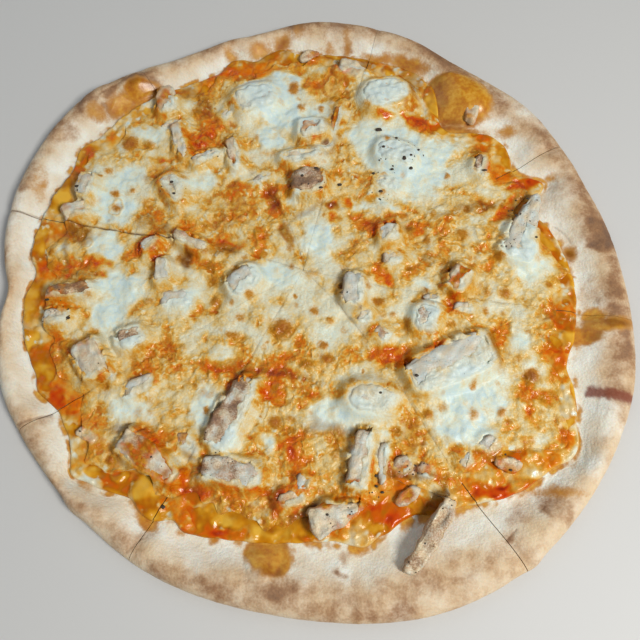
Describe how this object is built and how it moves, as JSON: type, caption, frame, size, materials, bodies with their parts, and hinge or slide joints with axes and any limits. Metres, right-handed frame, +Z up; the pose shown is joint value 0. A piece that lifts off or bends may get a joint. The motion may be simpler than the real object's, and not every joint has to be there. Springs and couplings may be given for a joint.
{
  "type": "buffalo chicken pizza",
  "caption": "Round hand-stretched pizza cut into slices that lie together, with a pale puffed rim, orange buffalo sauce, melted white cheese and cut pieces of chicken.",
  "frame": {"origin": "middle of the pizza's outline, on the surface it lies on", "axes": "+Z up through the pizza, +X to the right and +Y to the far side as the pizza is looked down on"},
  "size_m": [0.3546, 0.3566, 0.016],
  "materials": {
    "dough": "matte baked dough, floury and pale with browned patches",
    "sauce": "glossy oily orange sauce",
    "cheese": "melted, softly shining, with browned blisters",
    "chicken": "moist fibrous meat with pepper on it"
  },
  "bodies": {
    "root": {"crust_slice_1": "dough", "crust_slice_2": "dough", "crust_slice_3": "dough", "crust_slice_4": "dough", "crust_slice_5": "dough", "crust_slice_6": "dough", "crust_slice_7": "dough", "crust_slice_8": "dough", "sauce_slice_1": "sauce", "sauce_slice_2": "sauce", "sauce_slice_3": "sauce", "sauce_slice_4": "sauce", "sauce_slice_5": "sauce", "sauce_slice_6": "sauce", "sauce_slice_7": "sauce", "sauce_slice_8": "sauce", "cheese_slice_1": "cheese", "cheese_slice_2": "cheese", "cheese_slice_3": "cheese", "cheese_slice_4": "cheese", "cheese_slice_5": "cheese", "cheese_slice_6": "cheese", "cheese_slice_7": "cheese", "cheese_slice_8": "cheese", "chicken_top_left_chunk": "chicken", "chicken_pale_strip": "chicken", "chicken_peppered_strip": "chicken", "chicken_left_cube": "chicken", "chicken_left_block": "chicken", "chicken_grey_chunk": "chicken", "chicken_far_slab": "chicken", "chicken_far_shred": "chicken", "chicken_far_chunk": "chicken", "chicken_far_slice": "chicken", "chicken_far_mound": "chicken", "chicken_long_mound": "chicken", "chicken_pepper_ball": "chicken", "chicken_pepper_chunk": "chicken", "chicken_charred_oval": "chicken", "chicken_right_wedge": "chicken", "chicken_lilac_corner": "chicken", "chicken_white_block": "chicken", "chicken_curled_strip": "chicken", "chicken_browned_roll": "chicken", "chicken_left_end": "chicken", "chicken_layered_piece": "chicken", "chicken_brown_lump": "chicken", "chicken_middle_chunk": "chicken", "chicken_small_cube": "chicken", "chicken_upright_block": "chicken", "chicken_right_cube": "chicken", "chicken_sauced_block": "chicken", "chicken_great_slab": "chicken", "chicken_dark_slice": "chicken", "chicken_lower_slab": "chicken", "chicken_lower_mound": "chicken", "chicken_lower_slice": "chicken", "chicken_near_triangle": "chicken", "chicken_rim_strip": "chicken", "chicken_red_triangle": "chicken"}
  },
  "joints": []
}
